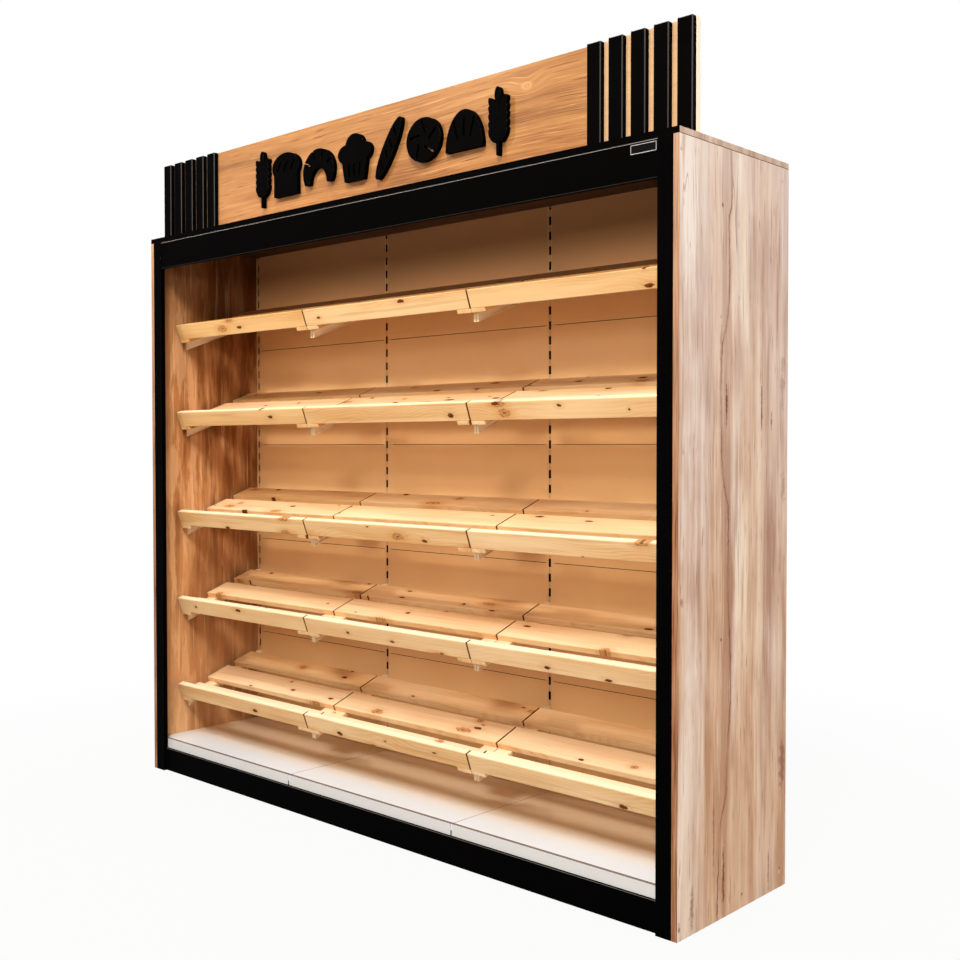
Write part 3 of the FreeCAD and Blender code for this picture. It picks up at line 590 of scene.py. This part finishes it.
def sign_decor():
    """Honey-oak decor with its grain along the sign: short brown flecks, pale clouds and one light knot."""
    s = Shader("oak_decor")
    x, y, z = s.axes()
    low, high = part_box("sign_board")
    off_x = s.over(s.minus(x, SIGN_KNOT_X), SIGN_KNOT_HALF_LENGTH)
    off_z = s.over(s.minus(z, high.z - SIGN_KNOT_DOWN), SIGN_KNOT_HALF_HEIGHT)
    knot = s.length(s.join(off_x, off_z))
    push = s.remap(knot, 0.5, 4.5, 0.02, 0.0, True)
    sway = s.noise(s.join(s.times(x, 1.1), 0.0, s.times(z, 2.0)), 1.0, 1.0)
    bent = s.plus(s.plus(z, push), s.spread(sway, -0.012, 0.012))
    clouds = s.noise(s.join(s.times(x, 1.6), 2.0, s.times(bent, 9.0)), 1.0, 3.0)
    bands = s.noise(s.join(s.times(x, 0.8), 2.0, s.times(bent, 40.0)), 1.0, 3.0, 0.6)
    fine = s.noise(s.join(s.times(x, 4.0), 4.0, s.times(bent, 300.0)), 1.0, 4.0, 0.65)
    level = s.plus(s.times(bands, 0.44), s.times(fine, 0.48))
    level = s.plus(level, s.spread(clouds, -0.09, 0.09))
    colour = s.ramp(s.remap(level, 0.3, 0.64), ((0.0, rgb(106, 64, 28)), (0.35, rgb(147, 97, 51)),
                                                (0.7, rgb(170, 119, 68)), (1.0, rgb(190, 142, 92))))
    colour = s.mix(s.remap(x, low.x, 0.3, 0.45, 0.0), colour, rgb(166, 122, 86))
    flecks = s.noise(s.join(s.times(x, 5.5), 6.0, s.times(bent, 170.0)), 1.0, 3.0)
    colour = s.mix(s.remap(flecks, 0.58, 0.7, 0.0, 0.85, True), colour, rgb(104, 58, 24))
    colour = s.mix(s.remap(flecks, 0.42, 0.3, 0.0, 0.5, True), colour, rgb(206, 156, 106))
    face = s.remap(y, low.y + 0.001, low.y + 0.002, 0.6, 0.0)
    beside = s.remap(x, BATTENS_FROM - 0.02, BATTENS_FROM)
    colour = s.mix(s.times(beside, face), colour, rgb(222, 184, 142))
    colour = s.mix(s.remap(knot, 0.4, 1.4, 0.6, 0.0, True), colour, rgb(204, 156, 108))
    ring = s.remap(s.absolute(s.minus(knot, 0.35)), 0.0, 0.3, 0.5, 0.0)
    colour = s.mix(ring, colour, rgb(132, 82, 42))
    beyond = s.remap(x, high.x - SIGN_END - 0.001, high.x - SIGN_END)
    colour = s.mix(s.times(beyond, face), colour, rgb(252, 236, 216))
    colour = s.mix(s.remap(x, high.x - 0.0012, high.x - 0.0004), colour, rgb(246, 228, 206))
    return decor_finish(s, colour, fine, 0.42, 0.55)


def painted_edge_highlight(s):
    """1 where the surface turns between two of the rack's main directions, as on a softened edge: the place
    of the black boards' painted highlight.
    """
    nx, ny, nz = s.facing()
    along_z = s.absolute(s.times(nx, ny))
    along_x = s.times(s.absolute(s.times(ny, nz)), s.remap(nz, -0.3, 0.2, 0.45, 1.0))
    return s.remap(s.larger(along_z, along_x), 0.15, 0.42, 0.0, 1.0, True)


def black_board():
    """Satin black laminate with a faint pearl texture, and a grey painted highlight along its rounded edges.
    """
    s = Shader("black_board")
    pearl = s.noise(s.place(), 900.0, 2.0)
    smear = s.noise(s.place(), 3.0, 3.0)
    colour = s.mix(smear, rgb(1, 1, 1), rgb(5, 4, 4))
    # Painted highlight: grey along the rounded edges, brighter on the fascia.
    worn = s.mix(s.remap(s.axes()[2], *FASCIA_HIGHLIGHT), rgb(112, 106, 102), rgb(160, 155, 151))
    colour = s.mix(s.times(painted_edge_highlight(s), 0.8), colour, worn)
    return s.finish(colour, s.spread(smear, 0.5, 0.62), s.bump(pearl, 0.0002, 0.3),
                    Specular_IOR_Level=BLACK_SHEEN)


def black_lacquer():
    """Sprayed black fibreboard, a little softer than the laminate, with a grey painted highlight along its
    edges.
    """
    s = Shader("black_lacquer")
    peel = s.noise(s.place(), 420.0, 2.0)
    worn = s.noise(s.place(), 9.0, 3.0)
    colour = s.mix(worn, rgb(1, 1, 1), rgb(6, 5, 5))
    # Painted highlight: grey along the rounded edges.
    colour = s.mix(s.times(painted_edge_highlight(s), 0.5), colour, rgb(88, 84, 81))
    return s.finish(colour, s.spread(worn, 0.5, 0.62), s.bump(peel, 0.0003, 0.3),
                    Specular_IOR_Level=BLACK_SHEEN)


def coat_colour(s, light, dark):
    """A powder coat's two tones, and the slow drift between them."""
    drift = s.noise(s.place(), 2.4, 3.0)
    return s.mix(s.spread(drift), light, dark), drift


def coat_finish(s, colour, wear, rough_low, rough_high, sheen):
    """The fine orange peel of powder coat, rougher where it is worn."""
    peel = s.noise(s.place(), PEEL_SCALE, 2.0)
    return s.finish(colour, s.spread(wear, rough_low, rough_high), s.bump(peel, 0.0002, 0.35),
                    Specular_IOR_Level=sheen)


def powder_coat(name, light, dark, rough_low, rough_high, sheen):
    """Plain powder-coated sheet."""
    s = Shader(name)
    colour, drift = coat_colour(s, light, dark)
    return coat_finish(s, colour, drift, rough_low, rough_high, sheen)


def panel_coat():
    """Cream powder coat on the back panels, browner over the top tier and dark and matt in the seams, both
    painted shade.
    """
    s = Shader("cream_steel")
    colour, drift = coat_colour(s, rgb(236, 189, 131), rgb(230, 181, 122))
    ny, nz = s.facing()[1:]
    front = s.remap(ny, -0.4, -0.6)
    # Painted shade: front faces browner over the top tier.
    top_bay_shade = s.remap(s.axes()[2], TOP_TIER, TOP_TIER + 0.1)
    colour = s.mix(s.times(top_bay_shade, front), colour, rgb(218, 162, 108))
    # Painted shade: the panels' folded edges in the seams dark brown.
    seam = s.remap(s.absolute(nz), 0.5, 0.7)
    colour = s.mix(seam, colour, rgb(64, 36, 18))
    return coat_finish(s, colour, drift, 0.4, 0.5, s.remap(seam, 0.0, 1.0, COAT_SHEEN, 0.0))


def bracket_coat():
    """Cream powder coat on the brackets, with painted light making their sides paler."""
    s = Shader("bracket_steel")
    painted_side_light = s.absolute(s.facing()[0])
    # Painted light: the sides paler.
    colour = s.mix(s.remap(painted_side_light, 0.4, 0.7), rgb(238, 205, 158), rgb(252, 238, 210))
    worn = s.noise(s.place(), 14.0, 3.0)
    return coat_finish(s, colour, worn, 0.4, 0.55, BRACKET_SHEEN)


def slotted_coat():
    """The uprights' cream coat, with a darker line of painted shade up the middle and dark brown painted
    shade inside the tubes.
    """
    s = Shader("slotted_steel")
    x, y = s.axes()[:2]
    low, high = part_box("uprights")
    colour, drift = coat_colour(s, rgb(230, 186, 131), rgb(224, 178, 122))
    off_middle = s.math("PINGPONG", s.minus(x, BAY_PITCH / 2), BAY_PITCH / 2)
    # Painted shade: a thin dark line up the middle of the slot column.
    colour = s.mix(s.remap(off_middle, 0.001, 0.002, 0.6, 0.0), colour, rgb(120, 70, 36))
    # Painted shade inside the tubes, lighter in the end uprights.
    inside = s.remap(off_middle, TUBE_WALL + 0.0006, TUBE_WALL)
    inside = s.times(inside, s.remap(y, low.y + 0.0004, low.y + 0.0009))
    inside = s.times(inside, s.remap(y, high.y - 0.0009, high.y - 0.0013))
    end_from = BAY_PITCH * BAYS / 2 - END_UPRIGHT
    at_end = s.remap(s.absolute(x), end_from, end_from + 0.01)
    inside = s.times(inside, s.remap(at_end, 0.0, 1.0, 1.0, 0.35))
    colour = s.mix(inside, colour, rgb(26, 10, 4))
    return coat_finish(s, colour, drift, 0.4, 0.5, s.remap(inside, 0.0, 1.0, COAT_SHEEN, 0.0))


def white_coat():
    """White powder coat on the decks, with painted shade in the groove, a warm painted shade and reflection
    towards the back, and painted shade on the lip's front face and in the joints.
    """
    s = Shader("white_steel")
    y, z = s.axes()[1:]
    low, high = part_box("base_deck_2")
    colour, drift = coat_colour(s, rgb(225, 232, 238), rgb(217, 224, 230))
    # Painted shade in the groove along the front fold.
    front = s.remap(y, low.y + GROOVE_REACH - 0.002, low.y + GROOVE_REACH, 1.0, 0.0)
    top = s.remap(z, high.z - GROOVE_DEPTH - 0.0005, high.z - GROOVE_DEPTH, 0.0, 1.0)
    colour = s.mix(s.times(s.times(front, top), 0.9), colour, rgb(96, 84, 76))
    # Painted shade and warm reflection towards the back.
    colour = s.mix(s.remap(y, *DECK_PAINTED_SHADE, 0.0, 0.8, True), colour, rgb(232, 198, 148))
    nx, ny = s.facing()[:2]
    # Painted shade: the lip's front face greyer.
    colour = s.mix(s.remap(ny, -0.5, -0.8), colour, rgb(206, 204, 203))
    # Painted shade: the deck ends in the joints dark.
    joint_shade = s.remap(s.absolute(nx), 0.5, 0.8)
    colour = s.mix(joint_shade, colour, rgb(52, 44, 38))
    return coat_finish(s, colour, drift, 0.16, 0.24, s.remap(joint_shade, 0.0, 1.0, COAT_SHEEN, 0.0))


def zinc():
    """Bright zinc with fine scratches."""
    s = Shader("zinc_steel")
    scratch = s.noise(s.stretch(s.place(), (900, 60, 60)), 1.0, 3.0)
    colour = s.mix(scratch, rgb(150, 150, 150), rgb(198, 198, 200))
    return s.finish(colour, s.spread(scratch, 0.28, 0.45), s.bump(scratch, 0.0002, 0.3), Metallic=0.9)


def label_face():
    """Black engraving laminate, brushed along the plate."""
    s = Shader("label")
    brushed = s.noise(s.stretch(s.place(), (20, 900, 900)), 1.0, 2.0)
    colour = s.mix(brushed, rgb(6, 5, 5), rgb(12, 11, 10))
    return s.finish(colour, s.spread(brushed, 0.4, 0.5), s.bump(brushed, 0.0001, 0.2),
                    Specular_IOR_Level=LABEL_SHEEN)


def silver_line():
    """Bright line engraved in the label."""
    s = Shader("silver_line")
    brushed = s.noise(s.stretch(s.place(), (20, 900, 900)), 1.0, 2.0)
    colour = s.mix(brushed, rgb(170, 168, 165), rgb(205, 203, 200))
    return s.finish(colour, s.spread(brushed, 0.3, 0.45), s.bump(brushed, 0.0001, 0.2), Metallic=0.4)


MATERIALS = {
    "pine": pine(),
    "ash_decor": SideDecor().material(),
    "oak_decor": sign_decor(),
    "black_board": black_board(),
    "black_lacquer": black_lacquer(),
    "label": label_face(),
    "cream_steel": panel_coat(),
    "bracket_steel": bracket_coat(),
    "tan_steel": powder_coat("tan_steel", rgb(206, 180, 162), rgb(196, 168, 150), 0.45, 0.55, SCREW_SHEEN),
    "white_steel": white_coat(),
    "zinc_steel": zinc(),
}


# ---- Pieces ---------------------------------------------------------------------------------------------

def soften(node, width, segments=2, clamp=True):
    """Rounds the sharp edges of a node that keeps its shape."""
    piece = NODES[node]
    weld = piece.modifiers.new("weld", "WELD")
    weld.merge_threshold = 2 * SAME_POINT
    bevel = piece.modifiers.new("bevel", "BEVEL")
    bevel.width = width
    bevel.segments = segments
    bevel.use_clamp_overlap = clamp
    bevel.limit_method = "ANGLE"
    bevel.angle_limit = SHARP_ANGLE
    bevel.harden_normals = True


def to_slope(point):
    """A point in the tray's own directions: along the rack, up the slope, and square to it."""
    return Matrix.Rotation(-TRAY_SLOPE, 3, "X") @ point


def from_slope(point):
    """The same point back in the rack's own directions."""
    return Matrix.Rotation(TRAY_SLOPE, 3, "X") @ point


def solids_of(node):
    """The two far corners, in the slope's directions, of each separate solid in a node, in a fixed order."""
    work = bmesh.new()
    work.from_mesh(NODES[node].data)
    bmesh.ops.remove_doubles(work, verts=work.verts, dist=SAME_POINT)
    left = set(work.verts)
    boxes = []
    while left:
        group = [left.pop()]
        for vert in group:
            for edge in vert.link_edges:
                other = edge.other_vert(vert)
                if other in left:
                    left.remove(other)
                    group.append(other)
        points = [to_slope(vert.co) for vert in group]
        low = Vector([min(point[axis] for point in points) for axis in range(3)])
        high = Vector([max(point[axis] for point in points) for axis in range(3)])
        boxes.append((low, high))
    work.free()
    return sorted(boxes, key=lambda box: (round(box[0].z, 3), round(box[0].y, 3), round(box[0].x, 3)))


def add_board(work, low, high, rand, golden):
    """A board with softened edges and a slight bow, and the grain's place and tone on each of its points.
    Golden runs from 0, pale, to 1, deep in tone."""
    grain_layer = work.verts.layers.float_vector["grain"]
    tone_layer = work.verts.layers.float["tone"]
    end_layer = work.verts.layers.float["end"]
    size = high - low
    middle = (low + high) / 2
    long_axis = 0 if size.x > size.y else 1
    before = set(work.verts)
    cube = bmesh.ops.create_cube(work, size=1.0)["verts"]
    bmesh.ops.scale(work, vec=size, verts=cube)
    edges = {edge for vert in cube for edge in vert.link_edges}
    bmesh.ops.bevel(work, geom=list(edges), offset=BOARD_EDGE, segments=2, profile=0.5, affect="EDGES")
    board = [vert for vert in work.verts if vert not in before]
    faces = {face for vert in board for face in vert.link_faces}
    normal = Vector((1, 0, 0)) if long_axis == 0 else Vector((0, 1, 0))
    for run in range(1, BOARD_RUNS):
        place = normal * (size[long_axis] * (run / BOARD_RUNS - 0.5))
        geometry = list(faces) + list({edge for face in faces for edge in face.edges}) + board
        bmesh.ops.bisect_plane(work, geom=geometry, plane_co=place, plane_no=normal, dist=SAME_POINT)
        board = [vert for vert in work.verts if vert not in before]
        faces = {face for vert in board for face in vert.link_faces}
    bow = rand.uniform(-1, 1) * BOARD_BOW
    cup = rand.uniform(-0.5, 0.5) * BOARD_BOW
    # Each board has its own place in the grain. The second draw isn't used: it keeps the order of the draws
    draws = [rand.uniform(0, 40), rand.uniform(-8, 8), rand.uniform(-0.02, 0.02)]
    grain_place = Vector((draws[0], rand.uniform(-0.03, 0.03) + rand.randrange(40) * 2.0, draws[2]))
    tone = 0.4 * rand.random() + 0.6 * golden
    for vert in board:
        local = vert.co.copy()
        share = local[long_axis] / size[long_axis]
        side = local[1 - long_axis] / size[1 - long_axis]
        if size.z < size.y or long_axis == 1:
            place = Vector((local[long_axis], local[1 - long_axis], local.z))
        else:
            place = Vector((local.x, local.z, local.y))
        vert[grain_layer] = place + grain_place
        vert[tone_layer] = tone
        at_end = abs(share) > 0.4999 - BOARD_EDGE / size[long_axis] / 2
        vert[end_layer] = 1.0 if long_axis == 0 and at_end else 0.0
        vert.co.z += bow * (0.25 - share * share) + cup * (0.25 - side * side)
        vert.co = from_slope(vert.co + middle)


def add_box(work, low, high):
    """A plain box between two corners."""
    made = bmesh.ops.create_cube(work, size=1.0)["verts"]
    bmesh.ops.scale(work, vec=[b - a for a, b in zip(low, high)], verts=made)
    bmesh.ops.translate(work, vec=[(a + b) / 2 for a, b in zip(low, high)], verts=made)


def add_piece(name, work, material):
    """Turns a bmesh into a piece of the rack."""
    mesh = bpy.data.meshes.new(name)
    work.to_mesh(mesh)
    work.free()
    mesh.materials.append(material)
    piece = bpy.data.objects.new(name, mesh)
    bpy.context.scene.collection.objects.link(piece)
    return piece


def wooden_piece(name, node):
    """The boards that stand for a tray's node, as one piece."""
    work = bmesh.new()
    work.verts.layers.float_vector.new("grain")
    work.verts.layers.float.new("tone")
    work.verts.layers.float.new("end")
    rand = random.Random(name)
    tier, bay = [int(part) for part in node.split("_")[1:3]]
    golden = 0.6 * (tier - 1) / (TIERS - 1) + 0.4 * (BAYS - bay) / (BAYS - 1)
    for low, high in solids_of(node):
        add_board(work, low, high, rand, golden)
    bmesh.ops.recalc_face_normals(work, faces=work.faces)
    piece = add_piece(name, work, MATERIALS["pine"])
    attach(piece, BODY_OF[node])
    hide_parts(node)


def trays():
    """Builds every tray's boards and rail in place of their CAD nodes."""
    for node in sorted(NODES):
        if node.endswith("_boards"):
            wooden_piece(node.replace("_boards", "_slats"), node)
        elif node.endswith("_rail"):
            wooden_piece(node.replace("_rail", "_lip"), node)


def label_outline():
    """A thin silver line just inside the label plate's edge."""
    low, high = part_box("label_plate")
    front = low.y - LINE_RISE
    back = low.y + LINE_RISE
    left = low.x + LINE_INSET
    right = high.x - LINE_INSET
    bottom = low.z + LINE_INSET
    top = high.z - LINE_INSET
    work = bmesh.new()
    for (x0, z0), (x1, z1) in (((left, bottom), (right, bottom + LINE_WIDTH)),
                               ((left, top - LINE_WIDTH), (right, top)),
                               ((left, bottom + LINE_WIDTH), (left + LINE_WIDTH, top - LINE_WIDTH)),
                               ((right - LINE_WIDTH, bottom + LINE_WIDTH), (right, top - LINE_WIDTH))):
        add_box(work, (x0, front, z0), (x1, back, z1))
    piece = add_piece("label_outline", work, silver_line())
    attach(piece, BODY_OF["label_plate"])


def seam_shade_strips():
    """A folded strip of dark brown sheet behind each seam between two back panels, which stands in for the
    shade in the seams.
    """
    work = bmesh.new()
    for bay in range(1, BAYS + 1):
        low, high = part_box("back_panels_%d" % bay)
        left = low.x + SEAM_SIDE_GAP
        right = high.x - SEAM_SIDE_GAP
        front = high.y + SEAM_SHEET / 4
        back = front + SEAM_SHEET
        for seam in SEAM_HEIGHTS:
            bottom = seam - SEAM_STRIP / 2
            top = seam + SEAM_STRIP / 2
            add_box(work, (left, front, bottom), (right, back, top))
            for fold in (bottom, top - SEAM_SHEET):
                add_box(work, (left, back, fold), (right, back + SEAM_STRIP / 2, fold + SEAM_SHEET))
    # Painted shade: the strips' dark brown.
    brown = powder_coat("seam_shade_brown", rgb(64, 36, 18), rgb(54, 28, 12), 0.6, 0.7, 0.0)
    piece = add_piece("seam_shade_strips", work, brown)
    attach(piece, BODY_OF["back_panels_1"])


def dress_nodes():
    """Gives every CAD node its finish, and rounds the edges of boards and plates."""
    for node, piece in NODES.items():
        piece.data.materials.clear()
        piece.data.materials.append(MATERIALS[MATERIALS_OF[node]])
    NODES["roof_panel"].data.materials[0] = roof_decor()
    NODES["uprights"].data.materials[0] = slotted_coat()
    for node in ("side_panel_left", "side_panel_right", "roof_panel", "sign_board"):
        soften(node, DECOR_ROUND)
    for node in ("front_post_left", "front_post_right", "plinth_board", "sign_motifs"):
        soften(node, FRAME_ROUND)
    soften("sign_battens", BATTEN_ROUND, 3, clamp=False)


# ---- Stage, light and camera ----------------------------------------------------------------------------

def stage():
    """A white floor that fades into a white surround and keeps the rack's soft shadow."""
    mesh = bpy.data.meshes.new("floor")
    corners = [(x * FLOOR_REACH, y * FLOOR_REACH, 0) for x, y in ((-1, -1), (1, -1), (1, 1), (-1, 1))]
    mesh.from_pydata(corners, [], [(0, 1, 2, 3)])
    floor = bpy.data.objects.new("floor", mesh)
    bpy.context.scene.collection.objects.link(floor)
    s = Shader("floor")
    clear = s.remap(s.length(s.place()), FLOOR_CLEAR_NEAR, FLOOR_CLEAR_FAR, 0.94, 1.0, True)
    mesh.materials.append(s.finish(rgb(160, 158, 155), 0.7, Specular_IOR_Level=FLOOR_SHEEN))
    glow = s.node("ShaderNodeEmission", {"Color": (1, 1, 1), "Strength": 1.0}).outputs[0]
    inputs = {0: s.times(clear, s.seen_rays()), 1: s.surface.outputs[0], 2: glow}
    s.put(s.output.inputs["Surface"], s.node("ShaderNodeMixShader", inputs).outputs[0])


def world():
    """A surround that lights softly, more from above than from the sides, and looks white behind the rack."""
    surround = bpy.data.worlds.new("surround")
    s = Nodes(surround)
    direction = s.node("ShaderNodeTexCoord", {}).outputs["Generated"]
    strength = s.remap(s.split(direction)[2], *SKY_RISE, *SKY_LIGHT, True)
    lighting = s.node("ShaderNodeBackground", {"Color": (1.0, 0.97, 0.94), "Strength": strength}).outputs[0]
    backdrop = s.node("ShaderNodeBackground", {"Color": (1, 1, 1), "Strength": 1.0}).outputs[0]
    blend = s.node("ShaderNodeMixShader", {0: s.seen_rays(), 1: lighting, 2: backdrop}).outputs[0]
    s.node("ShaderNodeOutputWorld", {"Surface": blend})
    bpy.context.scene.world = surround


def area_light(name, place, target, size, power, colour):
    """A rectangular lamp of a given width and height that looks at its target."""
    lamp = bpy.data.lights.new(name, "AREA")
    lamp.shape = "RECTANGLE"
    lamp.size, lamp.size_y = size
    lamp.energy = power
    lamp.color = colour
    holder = bpy.data.objects.new(name, lamp)
    holder.location = place
    holder.rotation_euler = (Vector(target) - Vector(place)).to_track_quat("-Z", "Y").to_euler()
    bpy.context.scene.collection.objects.link(holder)


def lights():
    """A high key from the front right, low soft banks in front, and fills for the sides and the rear."""
    warm = (1.0, 0.96, 0.90)
    neutral = (1.0, 0.99, 0.98)
    middle = (0.0, 0.0, 1.1)
    area_light("key", (3.6, -5.0, 6.6), middle, (1.8, 1.8), 560, warm)
    area_light("steep", (0.9, -2.3, 5.4), (0.0, -0.1, 1.0), (2.6, 0.6), 92, warm)
    area_light("spot_left", (-1.1, -1.75, 3.3), (0.1, 0.0, 1.0), (0.14, 0.14), 30, warm)
    area_light("low_left", (-4.0, -5.6, 2.9), middle, (1.2, 1.2), 28, warm)
    area_light("low_right", (4.0, -5.6, 2.4), middle, (1.2, 1.2), 78, warm)
    area_light("low_front", (0.0, -6.8, 2.7), middle, (3.0, 1.6), 40, warm)
    area_light("right_fill", (7.5, 0.5, 3.4), (1.2, 0.0, 1.2), (3.0, 3.0), 142, neutral)
    area_light("left_fill", (-7.0, 1.5, 3.4), (-1.2, 0.0, 1.2), (3.0, 3.0), 150, neutral)
    area_light("rear_fill", (0.0, 7.0, 4.0), middle, (4.0, 3.0), 260, neutral)


def camera():
    """A level camera turned towards the rack's front right corner, with its centre lifted a little."""
    lens = bpy.data.cameras.new("camera")
    lens.sensor_width = SENSOR_MM
    lens.lens = FOCAL_PX / IMAGE_SIDE_PX * SENSOR_MM
    lens.shift_y = -CENTRE_LIFT_PX / IMAGE_SIDE_PX
    holder = bpy.data.objects.new("camera", lens)
    turn = Matrix.Rotation(CAMERA_YAW, 4, "Z") @ Matrix.Rotation(math.pi / 2 + CAMERA_PITCH, 4, "X")
    turn = turn @ Matrix.Rotation(-CAMERA_ROLL, 4, "Z")
    holder.matrix_world = Matrix.Translation(CAMERA_PLACE) @ turn
    bpy.context.scene.collection.objects.link(holder)
    bpy.context.scene.camera = holder


camera()
world()
lights()
stage()
dress_nodes()
trays()
label_outline()
seam_shade_strips()
bpy.context.scene.view_settings.view_transform = "Standard"

bpy.context.view_layer.update()
